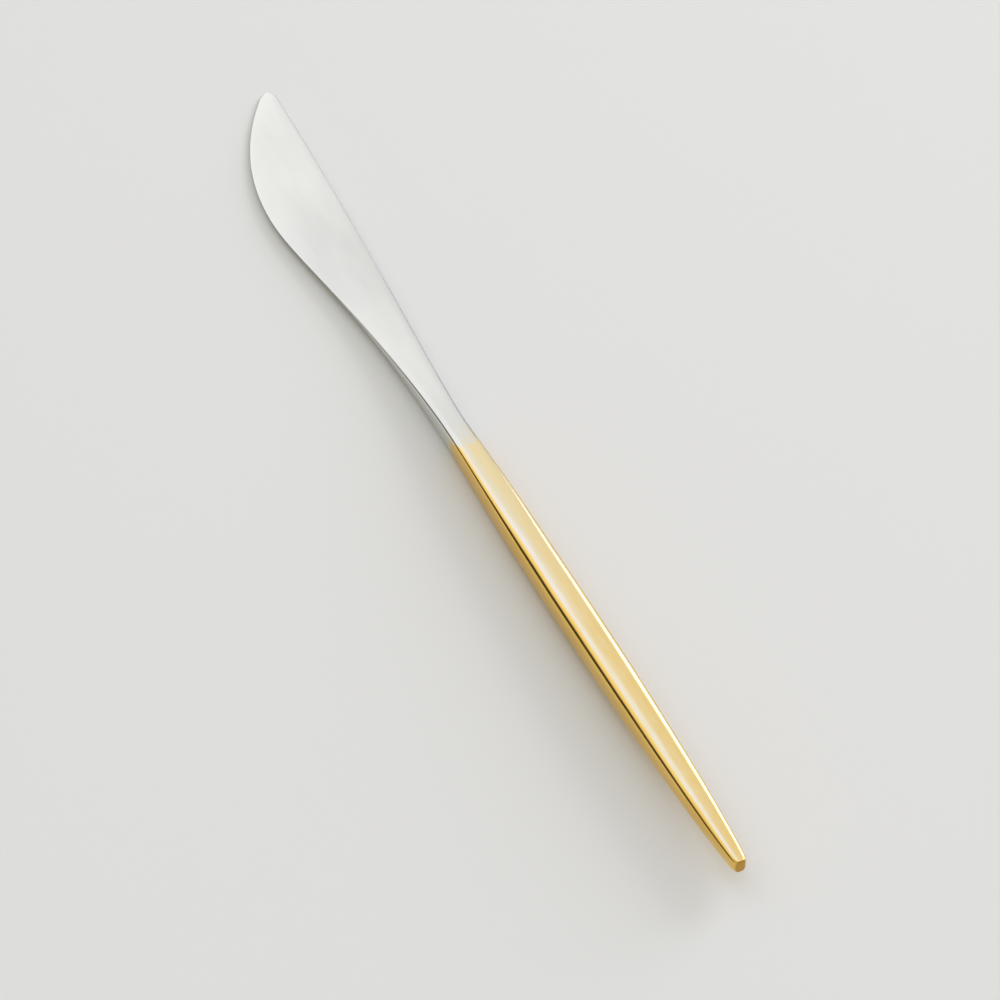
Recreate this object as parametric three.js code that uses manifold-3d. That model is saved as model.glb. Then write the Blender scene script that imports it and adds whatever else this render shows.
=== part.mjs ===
// Table knife with a hollow metal handle, lying on its side. Millimetres, +Z up.
// X runs from the blade's tip to the handle's butt, Y from the cutting edge to the spine.

import * as THREE from 'three';
import { mergeVertices } from 'three/addons/utils/BufferGeometryUtils.js';
import Module from 'manifold-3d';

const wasm = await Module();
wasm.setup();

const degree = Math.PI / 180;

// Lengths along the knife
const bladeLength = 109.5; // tip to the joint with the handle
const handleLength = 112.5; // joint to the butt
const bellyAt = 36; // from the tip to where the blade is deepest
const neckSetback = 6; // from the narrowest place of the neck to the joint
const bladeFlatLength = 45; // from the tip to where the blade begins to swell into the neck
const landSetback = 35.5; // from the joint to the flat land that the handle lies on
const landLength = 20;
const widestSetback = 45.5; // from the joint to where the handle is widest

// Outline seen from above, measured from the handle's axis
const spineRise = 7.8; // top of the rounded nose
const spineFall = 1.2 * degree; // slope with which the spine leaves the nose
const noseRadius = 1.7;
const frontAngle = 39.5 * degree; // slope of the cutting edge where it leaves the nose
const bellyDepth = 8.3;
const neckSpine = 2.7;
const neckEdge = 2.45;
const handleWidth = 6.9;
const buttWidth = 2.7;
const buttTaper = 0.13; // slope of each side of the outline at the butt
const buttCornerLength = 1.6; // how far the butt's two corners are rounded back along each side
const buttCornerDepth = 0.7; // and in across the end

// Thickness
const tipThickness = 0.9;
const bladeThickness = 1.3; // at the spine
const edgeThickness = 0.3; // blunt cutting edge
const handleThickness = 6.25;
const buttThickness = 3.2;
const buttThinning = 0.1; // loss of thickness per millimetre of length at the butt
const buttRound = 0.3; // softened edge around the butt's flat face

// Power of the blade's grind: 1 is a flat-sided wedge, a larger one swells it towards the spine
const grindPower = 1.6;

// Powers of the rounded-rectangle sections: 2 is an ellipse, a large one is a rectangle
const bladeSquareness = 10;
const handleSquareness = 3.4;
const tangSquareness = 8;

// Hollow handle, spigot, tang and cement
const shellWall = 0.6;
const buttWall = 1.2;
const fitGap = 0.15; // clearance of what sits inside the shells
const spigotLength = 4; // plug behind the shoulder that fits the handle's mouth
const tangLength = 58;
const tangWidth = 2.6;
const tangThickness = 2;
const tangEndWidth = 2;
const tangEndThickness = 1.6;
const notchCount = 3;
const notchSpacing = 15;
const notchSetback = 12; // from the spigot to the first notch
const notchLength = 3;
const notchDepth = 0.4;

// Fineness of the facets
const ringCount = 32;
const curveSteps = 60;
const cutMargin = 1; // how far cutting solids reach past the faces that they open

// Places along X that follow from the sizes
const length = bladeLength + handleLength;
const jointAt = bladeLength;
const neckAt = jointAt - neckSetback;
const widestAt = jointAt + widestSetback;
const landFrom = jointAt + landSetback;
const landTo = landFrom + landLength;
const spigotEnd = jointAt + spigotLength;
const tangEnd = spigotEnd + tangLength;
const cavityEnd = length - buttWall;
const cornerFrom = length - buttCornerLength;
const noseHeight = spineRise - noseRadius;

// Extends a path to the next station on a smooth curve. The shares say how much of the run
// keeps the direction of its start and of its end.
function runTo(path, x, y, startShare, endShare, startSlope = 0, endSlope = 0) {
  const from = path.currentPoint;
  const run = x - from.x;
  path.bezierCurveTo(
    from.x + startShare * run,
    from.y + startShare * run * startSlope,
    x - endShare * run,
    y - endShare * run * endSlope,
    x,
    y,
  );
}

// Turns a path that advances along X into a function of X
function heightOf(path) {
  const points = path.getPoints(curveSteps);
  return (x) => {
    const next = Math.max(1, points.findIndex((point) => point.x >= x));
    const [low, high] = [points[next - 1], points[next]];
    const share = high.x > low.x ? (x - low.x) / (high.x - low.x) : 1;
    return THREE.MathUtils.lerp(low.y, high.y, share);
  };
}

// Spine: nose, straight fall to the neck, slight swell of the handle, butt
const spineLine = new THREE.Path();
spineLine.moveTo(0, noseHeight);
spineLine.absarc(noseRadius, noseHeight, noseRadius, Math.PI, Math.PI / 2 - spineFall, true);
runTo(spineLine, neckAt, neckSpine, 0.47, 0.13, -Math.tan(spineFall));
runTo(spineLine, widestAt, handleWidth / 2, 0.2, 0.6);
runTo(spineLine, length, buttWidth / 2, 0.45, 0.15, 0, -buttTaper);

// Cutting edge: nose, round belly, long sweep to the neck, lower side of the handle
const edgeLine = new THREE.Path();
edgeLine.moveTo(0, noseHeight);
edgeLine.absarc(noseRadius, noseHeight, noseRadius, Math.PI, 1.5 * Math.PI - frontAngle, false);
const noseEnd = edgeLine.currentPoint;
const bellyReach = (noseEnd.y + bellyDepth) / Math.tan(frontAngle);
edgeLine.quadraticCurveTo(noseEnd.x + bellyReach, -bellyDepth, bellyAt, -bellyDepth);
runTo(edgeLine, neckAt, -neckEdge, 0.19, 0.56);
runTo(edgeLine, widestAt, -handleWidth / 2, 0.2, 0.6);
runTo(edgeLine, length, -buttWidth / 2, 0.45, 0.15, 0, buttTaper);

// Thickness: thin blade, swelling neck, flat land of the handle, tapering butt
const thicknessLine = new THREE.Path();
thicknessLine.moveTo(0, tipThickness);
thicknessLine.lineTo(bladeFlatLength, bladeThickness);
runTo(thicknessLine, landFrom, handleThickness, 0.35, 0.45);
thicknessLine.lineTo(landTo, handleThickness);
runTo(thicknessLine, length, buttThickness, 0.44, 0.2, 0, -buttThinning);

const spineAt = heightOf(spineLine);
const edgeAt = heightOf(edgeLine);
const thicknessAt = heightOf(thicknessLine);
const midlineAt = (x) => (spineAt(x) + edgeAt(x)) / 2;

// Bends a sine or cosine so that a circle becomes a rounded square with flat middles
function squared(value, squareness) {
  const full = Math.cos(Math.PI / ringCount);
  return Math.sign(value) * Math.pow(Math.abs(value) / full, 2 / squareness);
}

// Points of one rounded-rectangle section across the knife. thinning is the share of the
// thickness that is left at the cutting edge.
function roundedRing(x, middle, halfWidth, halfThickness, squareness, thinning = 1) {
  const ring = [];
  for (let i = 0; i < ringCount; i += 1) {
    const angle = ((i + 0.5) / ringCount) * 2 * Math.PI;
    const across = squared(Math.cos(angle), squareness);
    const up = squared(Math.sin(angle), squareness);
    const toEdge = Math.max(0, (1 - across) / 2);
    const taper = 1 - (1 - thinning) * Math.pow(toEdge, grindPower);
    ring.push(new THREE.Vector3(x, middle + halfWidth * across, halfThickness * taper * up));
  }
  return ring;
}

// Outer section of the knife, drawn in at its narrow sides and at its broad faces
function bodyRing(x, sideInset = 0, faceInset = sideInset) {
  const halfWidth = (spineAt(x) - edgeAt(x)) / 2 - sideInset;
  const halfThickness = thicknessAt(x) / 2 - faceInset;
  const swell = THREE.MathUtils.smoothstep(x, bladeFlatLength, jointAt);
  const squareness = THREE.MathUtils.lerp(bladeSquareness, handleSquareness, swell);
  const thinning = THREE.MathUtils.lerp(edgeThickness / bladeThickness, 1, swell);
  return roundedRing(x, midlineAt(x), halfWidth, halfThickness, squareness, thinning);
}

// Section of the tang, grown all round by grow
function tangRing(x, grow = 0) {
  const halfWidth = THREE.MathUtils.mapLinear(x, spigotEnd, tangEnd, tangWidth, tangEndWidth) / 2;
  const halfThickness = THREE.MathUtils.mapLinear(x, spigotEnd, tangEnd, tangThickness, tangEndThickness) / 2;
  return roundedRing(x, midlineAt(x), halfWidth + grow, halfThickness + grow, tangSquareness);
}

// Upper half of a section, with its two seam points on the knife's middle plane
function upperHalf(ring) {
  const half = ring.slice(0, ringCount / 2);
  const first = half[0].clone().setZ(0);
  const last = half[half.length - 1].clone().setZ(0);
  return [first, ...half, last];
}

// The same half turned over, with its points in the order that keeps its faces outwards
function lowerHalf(ring) {
  return upperHalf(ring).map((point) => point.clone().setZ(-point.z)).reverse();
}

// Skins a row of sections and closes both ends
function loft(rings) {
  const count = rings[0].length;
  const middles = [rings[0], rings[rings.length - 1]].map((ring) => {
    const middle = new THREE.Vector3();
    ring.forEach((point) => middle.addScaledVector(point, 1 / count));
    return middle;
  });
  const points = [...rings.flat(), ...middles];
  const startMiddle = rings.length * count;
  const endMiddle = startMiddle + 1;
  const endRing = startMiddle - count;
  const faces = [];
  for (let i = 0; i < count; i += 1) {
    const next = (i + 1) % count;
    faces.push(startMiddle, next, i, endMiddle, endRing + i, endRing + next);
    for (let base = 0; base < endRing; base += count) {
      const beyond = base + count;
      faces.push(base + i, base + next, beyond + next, base + i, beyond + next, beyond + i);
    }
  }
  const geometry = new THREE.BufferGeometry().setFromPoints(points);
  geometry.setIndex(faces);
  return geometry;
}

// Evenly spaced places from one station to the next, without the last
function spread(from, to, count) {
  return Array.from({ length: count }, (unused, i) => THREE.MathUtils.lerp(from, to, i / count));
}

function solidOf(geometry) {
  const bare = geometry.clone();
  bare.deleteAttribute('normal');
  bare.deleteAttribute('uv');
  const merged = mergeVertices(bare);
  return new wasm.Manifold(new wasm.Mesh({
    numProp: 3,
    vertProperties: merged.attributes.position.array,
    triVerts: new Uint32Array(merged.index.array),
  }));
}

function geometryOf(solid) {
  const mesh = solid.getMesh();
  const geometry = new THREE.BufferGeometry();
  geometry.setAttribute('position', new THREE.BufferAttribute(mesh.vertProperties, 3));
  geometry.setIndex(new THREE.BufferAttribute(mesh.triVerts, 1));
  return geometry;
}

// Boxes across both narrow edges of the tang at each notch, shorter and shallower by gap
function notchBoxes(gap) {
  const boxes = [];
  for (let i = 0; i < notchCount; i += 1) {
    const x = spigotEnd + notchSetback + i * notchSpacing;
    const halfWidth = THREE.MathUtils.mapLinear(x, spigotEnd, tangEnd, tangWidth, tangEndWidth) / 2;
    for (const side of [-1, 1]) {
      const depth = notchDepth - gap + cutMargin;
      const box = new THREE.BoxGeometry(notchLength - 2 * gap, depth, handleThickness);
      box.translate(x, midlineAt(x) + side * (halfWidth + cutMargin - depth / 2), 0);
      boxes.push(solidOf(box));
    }
  }
  return boxes;
}

// Blade, neck, shoulder, spigot and notched tang: one forging
function bladeGeometry() {
  const noseTurns = [5, 13, 24, 38, 54, 71].map((turn) => noseRadius * (1 - Math.cos(turn * degree)));
  const places = [
    ...noseTurns,
    ...spread(noseRadius, bellyAt, 10),
    ...spread(bellyAt, jointAt, 22),
  ];
  const rings = places.map((x) => bodyRing(x));
  const plugInset = shellWall + fitGap;
  rings.push(bodyRing(jointAt), bodyRing(jointAt, plugInset), bodyRing(spigotEnd, plugInset));
  rings.push(...spread(spigotEnd, tangEnd, 4).map((x) => tangRing(x)), tangRing(tangEnd));
  return geometryOf(notchBoxes(0).reduce((solid, box) => solid.subtract(box), solidOf(loft(rings))));
}

// Hollow of the handle, drawn in by gap, from one place to another
function hollowGeometry(from, to, gap) {
  const places = [...spread(from, landFrom, 8), ...spread(landFrom, landTo, 2), ...spread(landTo, to, 10), to];
  return loft(places.map((x) => bodyRing(x, shellWall + gap)));
}

// How far the butt's softened edge draws the broad faces in
function buttRounding(x) {
  const into = Math.max(0, 1 - (length - x) / buttRound);
  return buttRound * (1 - Math.sqrt(1 - into * into));
}

// One stamped half of the handle; half picks its side of every section
function shellGeometry(half) {
  const places = [...spread(jointAt, landFrom, 10), ...spread(landFrom, landTo, 2)];
  places.push(...spread(landTo, cornerFrom, 14));
  const rings = places.map((x) => half(bodyRing(x)));
  for (const turn of [0, 20, 40, 55, 68, 80, 90]) {
    const x = length - buttCornerLength * (1 - Math.sin(turn * degree));
    const sideInset = buttCornerDepth * (1 - Math.cos(turn * degree));
    rings.push(half(bodyRing(x, sideInset, buttRounding(x))));
  }
  const hollow = solidOf(hollowGeometry(jointAt - cutMargin, cavityEnd, 0));
  return geometryOf(solidOf(loft(rings)).subtract(hollow));
}

// Cement that fills the hollow behind the spigot and reaches into the tang's notches
function cementGeometry() {
  const filling = solidOf(hollowGeometry(spigotEnd + fitGap, cavityEnd - fitGap, fitGap));
  const places = [spigotEnd - cutMargin, ...spread(spigotEnd, tangEnd, 4), tangEnd + fitGap];
  const socket = solidOf(loft(places.map((x) => tangRing(x, fitGap))));
  const keyedSocket = notchBoxes(fitGap).reduce((solid, box) => solid.subtract(box), socket);
  return geometryOf(filling.subtract(keyedSocket));
}

const steel = { color: 0xdcdcd8, roughness: 0.2, metalness: 1 };
const gold = { color: 0xd8b468, roughness: 0.12, metalness: 1 };
const cement = { color: 0x8f877a, roughness: 0.95, metalness: 0 };

const knife = new THREE.Group();

function addPiece(name, geometry, look) {
  geometry.computeVertexNormals();
  const piece = new THREE.Mesh(geometry, new THREE.MeshStandardMaterial(look));
  piece.name = name;
  knife.add(piece);
}

addPiece('blade', bladeGeometry(), steel);
addPiece('upper_handle_shell', shellGeometry(upperHalf), gold);
addPiece('lower_handle_shell', shellGeometry(lowerHalf), gold);
addPiece('tang_cement', cementGeometry(), cement);

// The origin is under the middle of the knife, on the surface that it lies on
const box = new THREE.Box3().setFromObject(knife);
const centre = box.getCenter(new THREE.Vector3());
knife.position.set(-centre.x, -centre.y, -box.min.z);

export default knife;
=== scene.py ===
import math

import bmesh
import bpy
import numpy as np
from mathutils import Matrix, Vector


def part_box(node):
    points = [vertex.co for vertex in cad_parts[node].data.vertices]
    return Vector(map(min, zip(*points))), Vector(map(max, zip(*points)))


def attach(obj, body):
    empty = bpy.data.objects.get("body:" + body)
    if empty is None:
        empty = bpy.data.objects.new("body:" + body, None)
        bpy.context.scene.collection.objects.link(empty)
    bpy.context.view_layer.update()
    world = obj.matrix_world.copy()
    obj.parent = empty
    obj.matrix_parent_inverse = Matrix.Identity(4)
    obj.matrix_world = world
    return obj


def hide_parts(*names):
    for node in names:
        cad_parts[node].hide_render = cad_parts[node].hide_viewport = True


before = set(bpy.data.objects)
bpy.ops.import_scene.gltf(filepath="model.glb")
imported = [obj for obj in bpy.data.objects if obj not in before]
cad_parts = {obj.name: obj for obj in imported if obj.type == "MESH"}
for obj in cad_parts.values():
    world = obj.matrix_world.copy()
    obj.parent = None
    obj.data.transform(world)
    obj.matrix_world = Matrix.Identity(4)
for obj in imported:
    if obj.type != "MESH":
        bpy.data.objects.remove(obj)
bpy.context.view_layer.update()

mm = 0.001
scene = bpy.context.scene


def linear(hexColour):  # sRGB hex to the linear colour that sockets take
    channels = [int(hexColour[i:i + 2], 16) / 255 for i in (1, 3, 5)]
    return [c / 12.92 if c <= 0.04045 else ((c + 0.055) / 1.055) ** 2.4 for c in channels] + [1.0]


def addNode(tree, kind, links=None, **settings):  # a link is a value, a node or a node's socket
    node = tree.nodes.new(kind)
    for name, value in settings.items():
        setattr(node, name, value)
    for socket, value in (links or {}).items():
        if isinstance(value, bpy.types.Node):
            value = value.outputs[0]
        if isinstance(value, bpy.types.NodeSocket):
            tree.links.new(value, node.inputs[socket])
        else:
            node.inputs[socket].default_value = value
    return node


def newMaterial(name):
    material = bpy.data.materials.new(name)
    material.use_nodes = True
    material.node_tree.nodes.clear()
    return material


# Form of the knife in millimetres: along it from the tip, across it from the handle's axis

form = {
    "bladeLength": 109.5,
    "handleLength": 112.5,
    "bellyAt": 36.0,
    "neckSetback": 6.0,  # narrowest place of the neck to the joint
    "bladeFlatLength": 45.0,
    "landSetback": 35.5,  # joint to the flat that the handle lies on
    "landLength": 20.0,
    "widestSetback": 45.5,
    "spineRise": 7.8,
    "spineFall": math.radians(1.2),
    "noseRadius": 1.7,
    "frontAngle": math.radians(39.5),  # cutting edge where it leaves the nose
    "bellyDepth": 8.3,
    "neckSpine": 2.7,
    "neckEdge": 2.45,
    "handleWidth": 6.9,
    "buttWidth": 2.7,
    "buttTaper": 0.13,
    "buttCorner": (1.6, 0.7),  # rounding of its corners, along the knife and across
    "buttRound": 0.3,
    "tipThickness": 0.9,
    "bladeThickness": 1.3,
    "edgeThickness": 0.3,
    "grindPower": 1.6,  # 1 would be a flat-sided wedge
    "handleThickness": 6.25,
    "buttThickness": 3.2,
    "buttThinning": 0.1,
    "bladeSquareness": 10.0,  # powers of the rounded sections, where 2 is an ellipse
    "jointSquareness": 5.0,
    "handleSquareness": 3.4,
    "spinePull": (0.47, 0.13),  # how far a curve keeps to its slope at each end, as shares of its run
    "edgePull": (0.19, 0.56),
    "gripPull": (0.2, 0.6),
    "buttPull": (0.45, 0.15),
    "swellPull": (0.35, 0.45),
    "thinningPull": (0.44, 0.2),
}

knifeLength = form["bladeLength"] + form["handleLength"]
jointAt = form["bladeLength"]
neckAt = jointAt - form["neckSetback"]
widestAt = jointAt + form["widestSetback"]
landFrom = jointAt + form["landSetback"]
landTo = landFrom + form["landLength"]
noseHeight = form["spineRise"] - form["noseRadius"]
curveSteps = 600


def noseArc(lastAngle):
    turns = np.linspace(math.pi, lastAngle, curveSteps)
    radius = form["noseRadius"]
    return np.stack([radius + radius * np.cos(turns), noseHeight + radius * np.sin(turns)], axis=1)


def runTo(line, x, y, pull, startSlope=0.0, endSlope=0.0):  # smooth run to the next station
    fromX, fromY = line[-1]
    startRun, endRun = (share * (x - fromX) for share in pull)
    startHandle = (fromX + startRun, fromY + startRun * startSlope)
    endHandle = (x - endRun, y - endRun * endSlope)
    t = np.linspace(0, 1, curveSteps)[1:, None]
    corners = [np.array(p) for p in ((fromX, fromY), startHandle, endHandle, (x, y))]
    weights = ((1 - t) ** 3, 3 * t * (1 - t) ** 2, 3 * t ** 2 * (1 - t), t ** 3)
    return np.vstack([line, sum(w * p for w, p in zip(weights, corners))])


def bendTo(line, controlX, controlY, x, y):
    t = np.linspace(0, 1, curveSteps)[1:, None]
    corners = [np.array(p) for p in (line[-1], (controlX, controlY), (x, y))]
    weights = ((1 - t) ** 2, 2 * t * (1 - t), t ** 2)
    return np.vstack([line, sum(w * p for w, p in zip(weights, corners))])


def alongHandle(line, side):  # on from the neck, over the widest place to the butt
    line = runTo(line, widestAt, side * form["handleWidth"] / 2, form["gripPull"])
    halfButt = side * form["buttWidth"] / 2
    return runTo(line, knifeLength, halfButt, form["buttPull"], 0.0, -side * form["buttTaper"])


def spineLine():
    line = noseArc(math.pi / 2 - form["spineFall"])
    line = runTo(line, neckAt, form["neckSpine"], form["spinePull"], -math.tan(form["spineFall"]))
    return alongHandle(line, 1)


def edgeLine():
    line = noseArc(1.5 * math.pi - form["frontAngle"])
    noseEndX, noseEndY = line[-1]
    bellyReach = (noseEndY + form["bellyDepth"]) / math.tan(form["frontAngle"])
    line = bendTo(line, noseEndX + bellyReach, -form["bellyDepth"], form["bellyAt"], -form["bellyDepth"])
    line = runTo(line, neckAt, -form["neckEdge"], form["edgePull"])
    return alongHandle(line, -1)


def thicknessLine():
    line = np.array([(0.0, form["tipThickness"]), (form["bladeFlatLength"], form["bladeThickness"])])
    line = runTo(line, landFrom, form["handleThickness"], form["swellPull"])
    line = np.vstack([line, (landTo, form["handleThickness"])])
    return runTo(line, knifeLength, form["buttThickness"], form["thinningPull"], 0.0, -form["buttThinning"])


spine, edge, thickness = spineLine(), edgeLine(), thicknessLine()


def easing(x, begin, end):  # share that rises smoothly from 0 to 1
    share = np.clip((x - begin) / (end - begin), 0, 1)
    return share ** 2 * (3 - 2 * share)


# A section is a row of its place, middle, half width, half thickness, power and thinning towards the edge

def bodySections(x, sideInset=0.0, faceInset=0.0):
    x = np.atleast_1d(np.asarray(x, dtype=float))
    top, bottom = np.interp(x, *spine.T), np.interp(x, *edge.T)
    swell = easing(x, form["bladeFlatLength"], jointAt)
    power = form["bladeSquareness"] + swell * (form["jointSquareness"] - form["bladeSquareness"])
    power += easing(x, jointAt, landFrom) * (form["handleSquareness"] - form["jointSquareness"])
    edgeShare = form["edgeThickness"] / form["bladeThickness"]
    thinning = edgeShare + swell * (1 - edgeShare)
    halfWidth = (top - bottom) / 2 - sideInset
    halfThickness = np.interp(x, *thickness.T) / 2 - faceInset
    return np.stack([x, (top + bottom) / 2, halfWidth, halfThickness, power, thinning], axis=1)


def closingRow(rows):  # draws sections together to their middles
    closed = rows.copy()
    closed[:, 2:4] = 0.0
    return closed


print("outline laid out: %.1f mm long" % knifeLength)


# Geometry Nodes: skins a row of stations with rounded-rectangle sections

skinValues = {
    "ringPoints": 144,
    "weldDistance": 0.001 * mm,
    "sharpAngle": math.radians(38),
}


def makeSkinTree():
    tree = bpy.data.node_groups.new("sectionSkin", "GeometryNodeTree")
    tree.interface.new_socket("Stations", in_out="INPUT", socket_type="NodeSocketGeometry")
    for name in ("Outer Points", "Walls"):
        tree.interface.new_socket(name, in_out="INPUT", socket_type="NodeSocketInt")
    for name in ("Angle Step", "First Angle", "Ring Reach", "Grind", "Lowest Rise", "Side",
                 "Weld Distance"):
        tree.interface.new_socket(name, in_out="INPUT", socket_type="NodeSocketFloat")
    tree.interface.new_socket("Material", in_out="INPUT", socket_type="NodeSocketMaterial")
    tree.interface.new_socket("Piece", in_out="OUTPUT", socket_type="NodeSocketGeometry")
    given = addNode(tree, "NodeGroupInput").outputs
    stations, outerPoints = given["Stations"], given["Outer Points"]

    # grid of one row for each station, its last column lying on its first
    count = addNode(tree, "GeometryNodeAttributeDomainSize", {"Geometry": stations}, component="MESH")
    around = addNode(tree, "ShaderNodeMath", {0: outerPoints, 1: given["Walls"]}, operation="MULTIPLY")
    columns = addNode(tree, "ShaderNodeMath", {0: around, 1: 1.0}, operation="ADD")
    grid = addNode(tree, "GeometryNodeMeshGrid",
                   {"Vertices X": count.outputs["Point Count"], "Vertices Y": columns})
    index = addNode(tree, "GeometryNodeInputIndex")
    safeIndex = addNode(tree, "ShaderNodeMath", {0: index, 1: 0.5}, operation="ADD")
    rowShare = addNode(tree, "ShaderNodeMath", {0: safeIndex, 1: columns}, operation="DIVIDE")
    row = addNode(tree, "ShaderNodeMath", {0: rowShare}, operation="FLOOR")
    column = addNode(tree, "ShaderNodeMath", {0: index, 1: columns}, operation="MODULO")
    place = addNode(tree, "ShaderNodeMath", {0: column, 1: around}, operation="MODULO")
    placeMiddle = addNode(tree, "ShaderNodeMath", {0: place, 1: 0.5}, operation="ADD")
    isInner = addNode(tree, "ShaderNodeMath", {0: placeMiddle, 1: outerPoints}, operation="GREATER_THAN")
    folded = addNode(tree, "ShaderNodeMath", {0: placeMiddle, 1: outerPoints}, operation="PINGPONG")
    angle = addNode(tree, "ShaderNodeMath", {0: folded, 1: given["Angle Step"], 2: given["First Angle"]},
                    operation="MULTIPLY_ADD")

    # what each station says about its section
    sampled = {}
    for name in ("outerWidth", "outerRise", "innerWidth", "innerRise", "power", "thinning"):
        stored = addNode(tree, "GeometryNodeInputNamedAttribute", {"Name": name}, data_type="FLOAT")
        sampled[name] = addNode(tree, "GeometryNodeSampleIndex",
                                {"Geometry": stations, "Value": stored, "Index": row}, data_type="FLOAT")
    position = addNode(tree, "GeometryNodeInputPosition")
    centre = addNode(tree, "GeometryNodeSampleIndex",
                     {"Geometry": stations, "Value": position, "Index": row}, data_type="FLOAT_VECTOR")
    wall = {}
    for size in ("Width", "Rise"):
        wall[size] = addNode(tree, "GeometryNodeSwitch",
                             {"Switch": isInner, "False": sampled["outer" + size],
                              "True": sampled["inner" + size]}, input_type="FLOAT")

    # circle bent to a rounded rectangle by the section's power
    bent = {}
    exponent = addNode(tree, "ShaderNodeMath", {0: 2.0, 1: sampled["power"]}, operation="DIVIDE")
    for operation in ("COSINE", "SINE"):
        wave = addNode(tree, "ShaderNodeMath", {0: angle}, operation=operation)
        sign = addNode(tree, "ShaderNodeMath", {0: wave}, operation="SIGN")
        size = addNode(tree, "ShaderNodeMath", {0: wave}, operation="ABSOLUTE")
        reach = addNode(tree, "ShaderNodeMath", {0: size, 1: given["Ring Reach"]}, operation="DIVIDE")
        power = addNode(tree, "ShaderNodeMath", {0: reach, 1: exponent}, operation="POWER")
        bent[operation] = addNode(tree, "ShaderNodeMath", {0: power, 1: sign}, operation="MULTIPLY")
    upper = addNode(tree, "ShaderNodeMath", {0: bent["SINE"], 1: given["Lowest Rise"]}, operation="MAXIMUM")
    turned = addNode(tree, "ShaderNodeMath", {0: upper, 1: given["Side"]}, operation="MULTIPLY")
    toEdge = addNode(tree, "ShaderNodeMapRange",
                     {"Value": bent["COSINE"], "From Min": 1.0, "From Max": -1.0})
    ground = addNode(tree, "ShaderNodeMath", {0: toEdge, 1: given["Grind"]}, operation="POWER")
    taper = addNode(tree, "ShaderNodeMapRange",
                    {"Value": ground, "To Min": 1.0, "To Max": sampled["thinning"]})
    across = addNode(tree, "ShaderNodeMath", {0: bent["COSINE"], 1: wall["Width"]}, operation="MULTIPLY")
    height = addNode(tree, "ShaderNodeMath", {0: turned, 1: wall["Rise"]}, operation="MULTIPLY")
    thinned = addNode(tree, "ShaderNodeMath", {0: height, 1: taper}, operation="MULTIPLY")
    offset = addNode(tree, "ShaderNodeCombineXYZ", {"Y": across, "Z": thinned})

    skin = addNode(tree, "GeometryNodeSetPosition",
                   {"Geometry": grid, "Position": centre, "Offset": offset})
    welded = addNode(tree, "GeometryNodeMergeByDistance",
                     {"Geometry": skin, "Distance": given["Weld Distance"]})
    realized = addNode(tree, "GeometryNodeRealizeInstances", {"Geometry": welded})
    finished = addNode(tree, "GeometryNodeSetMaterial",
                       {"Geometry": realized, "Material": given["Material"]})
    addNode(tree, "NodeGroupOutput", {"Piece": finished})
    return tree


skinTree = makeSkinTree()
skinSockets = {item.name: item.identifier for item in skinTree.interface.items_tree
               if item.in_out == "INPUT"}

shellLow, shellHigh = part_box("upper_handle_shell")
knifeOrigin = Vector((shellHigh.x - knifeLength * mm, (shellLow.y + shellHigh.y) / 2, shellLow.z))


def skinPiece(name, outer, inner, material, side=0):  # side 1 or -1 makes a hollow half, 0 a whole solid
    place, middle, outerWidth, outerRise, power, thinning = outer.T
    innerWidth, innerRise = inner.T[2:4]
    mesh = bpy.data.meshes.new(name + "Stations")
    centres = np.stack([place, middle, np.zeros(len(place))], axis=1) * mm + np.array(knifeOrigin)
    mesh.from_pydata(centres.tolist(), [], [])
    stored = {"outerWidth": outerWidth * mm, "outerRise": outerRise * mm,
              "innerWidth": innerWidth * mm, "innerRise": innerRise * mm,
              "power": power, "thinning": thinning}
    for label, values in stored.items():
        attribute = mesh.attributes.new(label, "FLOAT", "POINT")
        attribute.data.foreach_set("value", values.astype(np.float32))
    piece = bpy.data.objects.new(name, mesh)
    scene.collection.objects.link(piece)
    modifier = piece.modifiers.new("sectionSkin", "NODES")
    modifier.node_group = skinTree
    ringPoints = skinValues["ringPoints"]
    step = 2 * math.pi / ringPoints
    inputs = {"Outer Points": ringPoints // 2 + 2 if side else ringPoints, "Walls": 2 if side else 1,
              "Angle Step": step, "First Angle": -step if side else 0.0, "Ring Reach": math.cos(step / 2),
              "Grind": form["grindPower"], "Lowest Rise": 0.0 if side else -1.0, "Side": float(side or 1),
              "Weld Distance": skinValues["weldDistance"], "Material": material}
    for label, value in inputs.items():
        modifier[skinSockets[label]] = value
    evaluated = piece.evaluated_get(bpy.context.evaluated_depsgraph_get())
    skinned = bpy.data.meshes.new_from_object(evaluated)
    piece.modifiers.remove(modifier)
    piece.data = skinned
    bpy.data.meshes.remove(mesh)
    work = bmesh.new()
    work.from_mesh(skinned)
    bmesh.ops.recalc_face_normals(work, faces=work.faces)
    openEdges = sum(not e.is_manifold for e in work.edges)
    volume = work.calc_volume(signed=True) / mm ** 3
    work.to_mesh(skinned)
    work.free()
    skinned.name = name
    skinned.shade_smooth()
    skinned.set_sharp_from_angle(angle=skinValues["sharpAngle"])
    faces = len(skinned.polygons)
    print("%s: %d faces, %d open edges, %.0f cubic mm" % (name, faces, openEdges, volume))
    return piece


# Materials, with the sizes of their grain in millimetres along, across and up

noiseSpan = (0.3, 0.7)  # where most of a noise lies


def millimetres(tree):
    place = addNode(tree, "ShaderNodeTexCoord").outputs["Object"]
    return addNode(tree, "ShaderNodeVectorMath", {0: place, "Scale": 1 / mm}, operation="SCALE")


def grain(tree, place, size, detail):  # noise with grains of the given size
    stretched = addNode(tree, "ShaderNodeVectorMath", {0: place, 1: size}, operation="DIVIDE")
    return addNode(tree, "ShaderNodeTexNoise", {"Vector": stretched, "Scale": 1.0, "Detail": detail})


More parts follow.
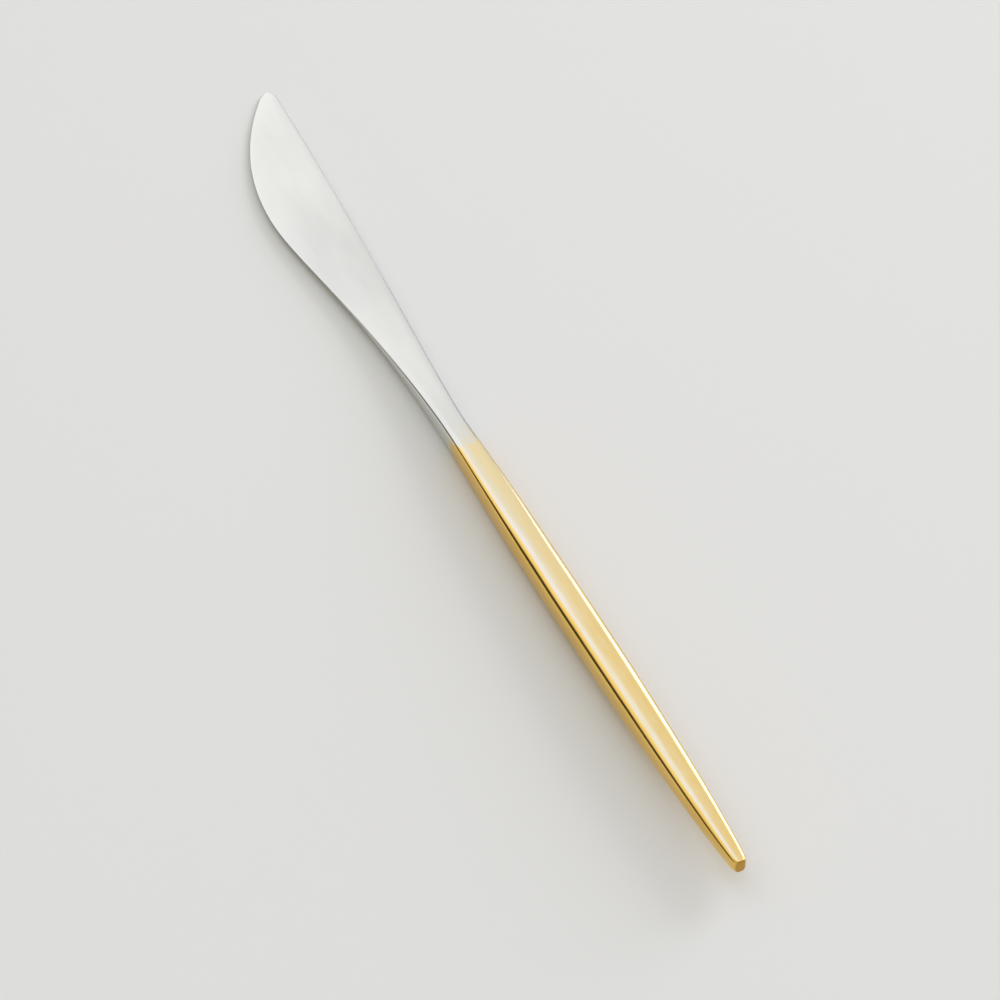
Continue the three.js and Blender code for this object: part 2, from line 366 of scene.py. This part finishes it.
def patches(tree, place, size, detail, low=0.0, high=1.0):  # grain as a number from low to high
    noise = grain(tree, place, size, detail)
    return addNode(tree, "ShaderNodeMapRange", {"Value": noise, "From Min": noiseSpan[0],
                                                "From Max": noiseSpan[1], "To Min": low, "To Max": high})


def coated(tree, colour, *coats):  # colours laid over each other, each by its share
    for share, coat in coats:
        sockets = {"Factor": share, 6: colour, 7: coat}  # 6 and 7 are the two colours
        colour = addNode(tree, "ShaderNodeMix", sockets, data_type="RGBA").outputs[2]
    return colour


def relief(tree, *layers):  # bumps over each other, each as deep as its millimetres
    below = {}
    for height, depth in layers:
        sockets = {"Height": height, "Strength": 1.0, "Distance": depth * mm, **below}
        below["Normal"] = addNode(tree, "ShaderNodeBump", sockets)
    return below["Normal"]


def fromJoint(tree, place):
    along = addNode(tree, "ShaderNodeSeparateXYZ", {"Vector": place}).outputs["X"]
    joint = knifeOrigin.x / mm + jointAt
    return addNode(tree, "ShaderNodeMath", {0: along, 1: joint}, operation="SUBTRACT")


def facing(tree, axis):  # share of the surface's normal along one of the knife's axes
    normal = addNode(tree, "ShaderNodeTexCoord").outputs["Normal"]
    return addNode(tree, "ShaderNodeSeparateXYZ", {"Vector": normal}).outputs[axis]


def flatness(tree):  # 1 on the broad faces, 0 on the narrow sides
    return addNode(tree, "ShaderNodeMath", {0: facing(tree, "Z")}, operation="ABSOLUTE")


# Gold plating on polished steel: a bright layer that copies the polish below it, so it mirrors sharply, with
# a slight haze where it was wiped. It is deep yellow on the narrow sides; painted shade darkens the butt's
# end.
# It is paler on the broad faces, partly thinner plating and partly a painted highlight, and a painted
# highlight makes it paler towards the joint, towards the spine and, with rubbed wear, beside the joint.

goldValues = {
    "colours": ("#F8D175", "#F1C765"),
    "thinAndHighlightColours": ("#F1D085", "#EFDCAB"),  # on the broad faces, partly thinner plating and partly a painted highlight, and the painted highlight at the joint
    "thinAndHighlightFacing": (0.83, 0.95),  # upright share of the normal from which it is paler: thinner plating and a painted highlight
    "spineHighlightLean": 0.2,  # it is paler towards the spine: a painted highlight along the spine's side
    "jointHighlightReach": 75.0,  # of the painted highlight that makes it paler, from the joint
    "mottleColour": "#EFE0B8",  # where polishing has thinned it further
    "mottle": (5.0, 1.2, 1.2),
    "mottleShare": 0.3,
    "wornHighlightColour": "#E8E0CA",  # painted highlight with rubbed wear, beside the joint on the edge's side
    "wornHighlightAcross": (0.3, -0.9),  # from the handle's axis
    "wornHighlightReach": 70.0,
    "wornHighlightShare": (0.6, 1.0),
    "endShadeColour": "#C29642",  # painted shade darkening the butt's end face
    "endShadeFacing": (0.4, 0.85),
    "cloud": (16.0, 5.0, 5.0),
    "roughness": (0.11, 0.19),
    "wipe": (7.0, 0.7, 0.7),
    "wave": (9.0, 2.2, 2.2),  # slow waves left by the polishing wheel
    "waveDepth": 0.03,
    "peel": (0.6, 0.6, 0.6),  # fine unevenness of the deposit
    "peelDepth": 0.00012,
}


def goldColour(tree, place):
    depth = fromJoint(tree, place)
    across = addNode(tree, "ShaderNodeSeparateXYZ", {"Vector": place}).outputs["Y"]
    # painted highlight: paler towards the spine and on the broad faces
    upright = addNode(tree, "ShaderNodeMath", {0: facing(tree, "Y"), 1: goldValues["spineHighlightLean"],
                                               2: flatness(tree)}, operation="MULTIPLY_ADD")
    spans = {"nearJoint": (depth, (goldValues["jointHighlightReach"], 0.0)),
             "wornHighlightSide": (across, [y + knifeOrigin.y / mm for y in goldValues["wornHighlightAcross"]]),
             "wornHighlightLength": (depth, (goldValues["wornHighlightReach"], 0.0)),
             "broadFace": (upright, goldValues["thinAndHighlightFacing"]),
             "buttEnd": (facing(tree, "X"), goldValues["endShadeFacing"])}
    share = {}
    for name, (measure, (begin, end)) in spans.items():  # each rises from 0 to 1 over its span
        share[name] = addNode(tree, "ShaderNodeMapRange",
                              {"Value": measure, "From Min": begin, "From Max": end},
                              interpolation_type="SMOOTHSTEP")
    mottle = patches(tree, place, goldValues["mottle"], 3.0, 0.0, goldValues["mottleShare"])
    # painted highlight with rubbed wear, pale beside the joint on the edge's side
    wornHighlight = patches(tree, place, goldValues["mottle"], 3.0, *goldValues["wornHighlightShare"])
    for name in ("wornHighlightSide", "wornHighlightLength"):
        wornHighlight = addNode(tree, "ShaderNodeMath", {0: wornHighlight, 1: share[name]}, operation="MULTIPLY")
    pale, deep = (linear(c) for c in goldValues["colours"])
    thick = coated(tree, pale, (patches(tree, place, goldValues["cloud"], 3.0), deep))
    # paler colours on the broad faces, partly thinner plating and partly a painted highlight
    face, joint = (linear(c) for c in goldValues["thinAndHighlightColours"])
    thinAndHighlight = coated(tree, face, (share["nearJoint"], joint), (mottle, linear(goldValues["mottleColour"])),
                  (wornHighlight, linear(goldValues["wornHighlightColour"])))
    # painted shade: the butt's end face darker
    end = linear(goldValues["endShadeColour"])
    return coated(tree, thick, (share["broadFace"], thinAndHighlight), (share["buttEnd"], end))


# Stainless steel, wheel polished: fine lines along the knife soften what it mirrors, and slow waves bend it.
# The plating ends in a blotchy line, past the joint on the broad faces and before it on the narrow sides.

steelValues = {
    "colours": ("#ECECE8", "#D9D9D6"),
    "cloud": (26.0, 8.0, 8.0),
    "cloudTone": (-0.25, 0.25),  # shares of the darker colour
    # painted reflection: shares of the darker colour, lighter towards the tip
    "paintedReflectionTone": (0.25, 0.75),
    "paintedReflectionFrom": (58.0, 22.0),  # distances from the tip over which a painted reflection makes the blade lighter
    "roughness": (0.07, 0.14),
    "line": (28.0, 0.45, 0.45),  # real polishing lines are some 0.02 mm apart, drawn coarser to show
    "lineDepth": 0.0006,
    "wave": (16.0, 6.0, 6.0),
    "waveDepth": 0.03,
    "platingReach": (-1.0, 2.0),  # over the neck, on the broad faces and on the narrow sides
    "platingFade": 0.8,
    "blotch": (2.2, 1.2, 1.2),
    "blotchReach": 1.0,
    "stainReach": 5.5,  # faint traces of the plating beyond its edge
    "stainShare": 0.75,
    "platedRoughness": 0.08,
}


def platingShare(tree, place):
    depth = fromJoint(tree, place)
    faceReach, sideReach = steelValues["platingReach"]
    reach = addNode(tree, "ShaderNodeMapRange",
                    {"Value": flatness(tree), "To Min": sideReach, "To Max": faceReach})
    blotch = patches(tree, place, steelValues["blotch"], 3.0)
    ragged = addNode(tree, "ShaderNodeMath", {0: blotch, 1: steelValues["blotchReach"], 2: reach},
                     operation="MULTIPLY_ADD")
    inside = addNode(tree, "ShaderNodeMath", {0: depth, 1: ragged}, operation="ADD")
    lap = addNode(tree, "ShaderNodeMapRange", {"Value": inside, "From Max": steelValues["platingFade"]},
                  interpolation_type="SMOOTHSTEP")
    nearness = addNode(tree, "ShaderNodeMapRange", {"Value": depth, "From Min": -steelValues["stainReach"],
                                                    "From Max": 0.0, "To Max": steelValues["stainShare"]})
    stain = addNode(tree, "ShaderNodeMath", {0: blotch, 1: nearness}, operation="MULTIPLY")
    return addNode(tree, "ShaderNodeMath", {0: lap, 1: stain}, operation="MAXIMUM")


def steelColour(tree, place):
    pale, dark = (linear(c) for c in steelValues["colours"])
    cloud = patches(tree, place, steelValues["cloud"], 3.0, *steelValues["cloudTone"])
    # painted reflection: the blade's colour is lighter towards the tip
    dullAt, brightAt = (distance - jointAt for distance in steelValues["paintedReflectionFrom"])
    brightTone, dullTone = steelValues["paintedReflectionTone"]
    paintedTone = addNode(tree, "ShaderNodeMapRange",
                   {"Value": fromJoint(tree, place), "From Min": brightAt, "From Max": dullAt,
                    "To Min": brightTone, "To Max": dullTone}, interpolation_type="SMOOTHSTEP")
    darkness = addNode(tree, "ShaderNodeMath", {0: cloud, 1: paintedTone}, operation="ADD")
    return coated(tree, pale, (darkness, dark))


def steelMaterial():
    material = newMaterial("wheelPolishedStainlessSteel")
    tree = material.node_tree
    place = millimetres(tree)
    line = grain(tree, place, steelValues["line"], 4.0)
    wave = grain(tree, place, steelValues["wave"], 0.0)
    plated = platingShare(tree, place)
    bareRoughness = patches(tree, place, steelValues["line"], 4.0, *steelValues["roughness"])
    roughness = addNode(tree, "ShaderNodeMapRange", {"Value": plated, "To Min": bareRoughness,
                                                     "To Max": steelValues["platedRoughness"]})
    colour = coated(tree, steelColour(tree, place), (plated, goldColour(tree, place)))
    uneven = relief(tree, (wave, steelValues["waveDepth"]), (line, steelValues["lineDepth"]))
    surface = addNode(tree, "ShaderNodeBsdfPrincipled",
                      {"Base Color": colour, "Metallic": 1.0, "Roughness": roughness, "Normal": uneven})
    addNode(tree, "ShaderNodeOutputMaterial", {"Surface": surface})
    return material


def goldMaterial():
    material = newMaterial("goldPlatedPolishedSteel")
    tree = material.node_tree
    place = millimetres(tree)
    wave = grain(tree, place, goldValues["wave"], 0.0)
    peel = grain(tree, place, goldValues["peel"], 2.0)
    roughness = patches(tree, place, goldValues["wipe"], 4.0, *goldValues["roughness"])
    colour = coated(tree, steelColour(tree, place), (platingShare(tree, place), goldColour(tree, place)))
    uneven = relief(tree, (wave, goldValues["waveDepth"]), (peel, goldValues["peelDepth"]))
    surface = addNode(tree, "ShaderNodeBsdfPrincipled",
                      {"Base Color": colour, "Metallic": 1.0, "Roughness": roughness, "Normal": uneven})
    addNode(tree, "ShaderNodeOutputMaterial", {"Surface": surface})
    return material


# Filler cement, poured and set: matte, with sand grains and small pores, their floors darkened by painted
# shade

cementValues = {
    "colours": ("#99917F", "#7F786C"),
    "sand": (0.35, 0.35, 0.35),
    "pore": 0.9,  # spacing
    "poreRadius": (0.12, 0.2),  # of its floor and of its rim, as shares of the spacing
    "poreDepth": 0.06,
    # painted shade in the pores
    "poreShadeColour": "#5E584F",
    "roughness": (0.86, 0.97),
}


def cementMaterial():
    material = newMaterial("pouredFillerCement")
    tree = material.node_tree
    place = millimetres(tree)
    pale, dark = (linear(c) for c in cementValues["colours"])
    sandy = coated(tree, pale, (patches(tree, place, cementValues["sand"], 4.0), dark))
    cells = addNode(tree, "ShaderNodeTexVoronoi", {"Vector": place, "Scale": 1 / cementValues["pore"]})
    poreFloor, poreRim = cementValues["poreRadius"]
    # painted shade darkens the pore floors
    solid = addNode(tree, "ShaderNodeMapRange", {"Value": cells.outputs["Distance"],
                                                 "From Min": poreFloor, "From Max": poreRim},
                    interpolation_type="SMOOTHSTEP")
    colour = coated(tree, linear(cementValues["poreShadeColour"]), (solid, sandy))
    roughness = patches(tree, place, cementValues["sand"], 4.0, *cementValues["roughness"])
    surface = addNode(tree, "ShaderNodeBsdfPrincipled",
                      {"Base Color": colour, "Roughness": roughness,
                       "Normal": relief(tree, (solid, cementValues["poreDepth"]))})
    addNode(tree, "ShaderNodeOutputMaterial", {"Surface": surface})
    return material


# Blade: nose, blade, neck, shoulder, spigot and notched tang

bladeValues = {
    "noseSteps": 24,
    "bodySteps": 210,
    "shoulderInset": 0.75,  # shell wall and fit gap
    "spigotLength": 4.0,
    "tangLength": 58.0,
    "tangWidth": (2.6, 2.0),  # at the spigot and at the end
    "tangThickness": (2.0, 1.6),
    "tangSquareness": 8.0,
    "notchSetbacks": (12.0, 27.0, 42.0),
    "notchLength": 3.0,
    "notchDepth": 0.4,
}

spigotEnd = jointAt + bladeValues["spigotLength"]


def tangSections(x, cut=0.0):
    x = np.asarray(x, dtype=float)
    middle = bodySections(x)[:, 1]
    share = (x - spigotEnd) / bladeValues["tangLength"]
    width, rise = (first + share * (last - first)
                   for first, last in (bladeValues["tangWidth"], bladeValues["tangThickness"]))
    power = np.full(len(x), bladeValues["tangSquareness"])
    return np.stack([x, middle, width / 2 - cut, rise / 2, power, np.ones(len(x))], axis=1)


def bladeSections():
    radius = form["noseRadius"]
    cadTip = (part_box("blade")[0].x - knifeOrigin.x) / mm  # the solid's foremost facet
    turns = np.linspace(math.acos(1 - cadTip / radius), math.pi / 2, bladeValues["noseSteps"])
    nose = bodySections(radius * (1 - np.cos(turns)))
    body = bodySections(np.linspace(radius, jointAt, bladeValues["bodySteps"])[1:])
    inset = bladeValues["shoulderInset"]
    spigot = bodySections([jointAt, spigotEnd], inset, inset)
    rows = [closingRow(nose[:1]), nose, body, spigot, tangSections([spigotEnd])]
    for setback in bladeValues["notchSetbacks"]:
        ends = spigotEnd + setback + np.array([-0.5, 0.5]) * bladeValues["notchLength"]
        notch = tangSections(ends, bladeValues["notchDepth"])
        rows += [tangSections(ends[:1]), notch, tangSections(ends[1:])]
    tangEnd = tangSections([spigotEnd + bladeValues["tangLength"]])
    return np.vstack(rows + [tangEnd, closingRow(tangEnd)])


steel = steelMaterial()
bladeRows = bladeSections()
blade = skinPiece("knifeBlade", bladeRows, closingRow(bladeRows), steel)


# Handle: two stamped halves, hollow behind their mouth and closed at the butt

handleValues = {
    "hollowSteps": 190,
    "wall": 0.6,
    "buttWall": 1.2,
    "buttSteps": 24,
}


def quarterRound(fromEnd, reach):  # share by which an edge rounded over reach is drawn in
    into = np.clip(1 - fromEnd / reach, 0, 1)
    return 1 - np.sqrt(1 - into ** 2)


def handleSkin(x):
    fromEnd = knifeLength - x
    cornerLength, cornerDepth = form["buttCorner"]
    sideInset = cornerDepth * quarterRound(fromEnd, cornerLength)
    return bodySections(x, sideInset, form["buttRound"] * quarterRound(fromEnd, form["buttRound"]))


def handleSections():
    wall, buttWall = handleValues["wall"], handleValues["buttWall"]
    hollowPlaces = np.linspace(jointAt, knifeLength - buttWall, handleValues["hollowSteps"])
    hollowOuter, hollowInner = handleSkin(hollowPlaces), bodySections(hollowPlaces, wall, wall)
    turns = np.linspace(0, math.pi / 2, handleValues["buttSteps"])
    butt = handleSkin(knifeLength - buttWall * (1 - np.sin(turns)))
    solidEnd = np.vstack([butt, closingRow(butt[-1:])])
    outer = np.vstack([hollowOuter[:1], hollowOuter, solidEnd])
    inner = np.vstack([hollowOuter[:1], hollowInner, closingRow(solidEnd)])
    return outer, inner


gold = goldMaterial()
shellOuter, shellInner = handleSections()
upperShell = skinPiece("upperHandleShell", shellOuter, shellInner, gold, side=1)
lowerShell = skinPiece("lowerHandleShell", shellOuter, shellInner, gold, side=-1)

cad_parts["tang_cement"].data.materials.clear()
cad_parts["tang_cement"].data.materials.append(cementMaterial())
print("pieces made")


# Floor, tilted as the knife rests on it: on its handle's belly and on its tip

floorValues = {
    "lean": math.radians(1.165),
    "reach": 6.0,  # metres
    "colour": "#E8E7E1",
    "roughness": 0.9,
}

leanTurn = Matrix.Rotation(floorValues["lean"], 4, "Y")  # floor frame to knife frame


def restingHeight():  # of the knife's lowest point, as the floor is turned
    upright = np.array(leanTurn.inverted().to_3x3())[2]
    lowest = []
    for piece in (blade, upperShell, lowerShell):
        points = np.empty(len(piece.data.vertices) * 3)
        piece.data.vertices.foreach_get("co", points)
        lowest.append((points.reshape(-1, 3) @ upright).min())
    return min(lowest)


floorFrame = leanTurn @ Matrix.Translation((0, 0, restingHeight()))


def makeFloor():
    reach = floorValues["reach"]
    plan = ((-reach, -reach), (reach, -reach), (reach, reach), (-reach, reach))
    mesh = bpy.data.meshes.new("paleFloor")
    mesh.from_pydata([floorFrame @ Vector((x, y, 0)) for x, y in plan], [], [(0, 1, 2, 3)])
    floor = bpy.data.objects.new("paleFloor", mesh)
    scene.collection.objects.link(floor)
    material = newMaterial("matteWhiteFloor")
    surface = addNode(material.node_tree, "ShaderNodeBsdfPrincipled",
                      {"Base Color": linear(floorValues["colour"]), "Roughness": floorValues["roughness"]})
    addNode(material.node_tree, "ShaderNodeOutputMaterial", {"Surface": surface})
    mesh.materials.append(material)
    return floor


floor = makeFloor()


# Camera and light, headed from the picture: 0 is right, 90 is away from the camera

cameraValues = {
    "azimuth": math.radians(63.68),
    "elevation": math.radians(50),
    "target": Vector((10.92, 1.39, 0)) * mm,  # in the floor's frame
    "distance": 816.0 * mm,
    "lens": 151.2,
    "sensor": 36.0,
}


def towards(heading, elevation):  # unit vector in the knife's frame
    a, h, e = cameraValues["azimuth"], math.radians(heading), math.radians(elevation)
    level = Vector((math.cos(a + h), math.sin(a + h), 0)) * math.cos(e)
    return leanTurn.to_3x3() @ (level + Vector((0, 0, math.sin(e))))


def makeCamera():
    a, e = cameraValues["azimuth"], cameraValues["elevation"]
    back = Vector((math.sin(a) * math.cos(e), -math.cos(a) * math.cos(e), math.sin(e)))
    place = Matrix.Translation(cameraValues["target"] + back * cameraValues["distance"])
    camera = bpy.data.objects.new("photoCamera", bpy.data.cameras.new("photoCamera"))
    camera.data.lens = cameraValues["lens"]
    camera.data.sensor_width = cameraValues["sensor"]
    camera.matrix_world = floorFrame @ place @ (-back).to_track_quat("-Z", "Y").to_matrix().to_4x4()
    scene.collection.objects.link(camera)
    scene.camera = camera


makeCamera()

lightValues = {
    "horizon": 0.48,
    "sky": 0.92,
    "skyFrom": (20, 30),  # elevations at which the horizon ends and the sky is full
    "panels": (  # headings, then elevations, at which each one starts, is full, begins to fade and ends
        ((84, 112, 122, 185), (22, 36, 70, 88), (1.1, 1.1, 1.1)),  # soft box behind the knife
        ((82, 97, 116, 156), (51.5, 55, 63, 69), (0.99, 1.24, 2.4)),  # its cool upper part
        ((152, 166, 195, 215), (-40, -30, 22, 42), (0.05, 0.04, 0.03)),  # dark card on the left
        ((58, 70, 112, 130), (-40, -30, 12, 24), (0.5, 0.5, 0.5)),  # dim wall behind the soft box
        ((-80, -65, -25, -10), (-40, -30, 26, 40), (0.08, 0.07, 0.06)),  # dark card in front
        ((-190, -150, -50, -10), (10, 25, 60, 85), (0.6, 0.585, 0.5)),  # warm dim side of the room
        ((26, 38, 59, 63), (2, 6, 29, 37), (3.2, 3.3, 4.5)),  # window as the metal mirrors it
        ((50, 56, 65, 69), (14, 18, 29, 37), (3.2, 3.3, 4.2)),  # upper pane at its left
        ((-180, -180, 180, 180), (62, 80, 90, 91), (1.1, 1.1, 1.1)),  # lamp overhead
    ),
    "windowHeading": 44.5,
    "windowElevation": 16,
    "windowDistance": 1.5,  # metres
    "windowSize": (0.84, 0.66),
    "windowRadiance": 5.2,
}


def spanShare(tree, angle, span):  # 1 inside the span, fading to 0 at both ends
    begin, full, fade, last = (math.radians(a) for a in span)
    share = 1.0
    for outside, inside in ((begin, full), (last, fade)):
        share = addNode(tree, "ShaderNodeMapRange",
                        {"Value": angle, "From Min": outside, "From Max": inside, "To Max": share},
                        interpolation_type="SMOOTHSTEP")
    return share


def makeWorld():
    world = bpy.data.worlds.new("studio")
    world.use_nodes = True
    scene.world = world
    tree = world.node_tree
    tree.nodes.clear()
    direction = addNode(tree, "ShaderNodeTexCoord").outputs["Generated"]

    def leaning(heading, elevation):  # how far the direction leans towards the given one
        return addNode(tree, "ShaderNodeVectorMath", {0: direction, 1: towards(heading, elevation)},
                       operation="DOT_PRODUCT").outputs["Value"]

    elevation = addNode(tree, "ShaderNodeMath", {0: leaning(0, 90)}, operation="ARCSINE")
    low, high = (math.radians(a) for a in lightValues["skyFrom"])
    sky = addNode(tree, "ShaderNodeMapRange", {"Value": elevation, "From Min": low, "From Max": high,
                                               "To Min": lightValues["horizon"],
                                               "To Max": lightValues["sky"]},
                  interpolation_type="SMOOTHSTEP")
    coats = []
    for headings, elevations, colour in lightValues["panels"]:
        middle = (headings[0] + headings[3]) / 2
        turn = addNode(tree, "ShaderNodeMath", {0: leaning(middle + 90, 0), 1: leaning(middle, 0)},
                       operation="ARCTAN2")
        across = spanShare(tree, turn, [h - middle for h in headings])
        upward = spanShare(tree, elevation, elevations)
        share = addNode(tree, "ShaderNodeMath", {0: across, 1: upward}, operation="MULTIPLY")
        coats.append((share, [*colour, 1.0]))
    backdrop = addNode(tree, "ShaderNodeBackground", {"Color": coated(tree, sky, *coats)})
    addNode(tree, "ShaderNodeOutputWorld", {"Surface": backdrop})


def makeWindow():
    window = bpy.data.objects.new("windowLamp", bpy.data.lights.new("windowLamp", "AREA"))
    window.data.shape = "RECTANGLE"
    window.data.size, window.data.size_y = lightValues["windowSize"]
    window.data.energy = lightValues["windowRadiance"] * math.pi * window.data.size * window.data.size_y
    aim = towards(lightValues["windowHeading"], lightValues["windowElevation"])
    window.matrix_world = (Matrix.Translation(aim * lightValues["windowDistance"])
                           @ (-aim).to_track_quat("-Z", "Y").to_matrix().to_4x4())
    window.visible_glossy = False  # its panel is mirrored instead, with softer edges
    scene.collection.objects.link(window)


makeWorld()
makeWindow()
scene.view_settings.view_transform = "Standard"
print("camera and light set")

for piece, node, slot in ((blade, "blade", "polished_steel"),
                          (upperShell, "upper_handle_shell", "gold_plate"),
                          (lowerShell, "lower_handle_shell", "gold_plate")):
    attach(piece, "root")
    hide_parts(node)
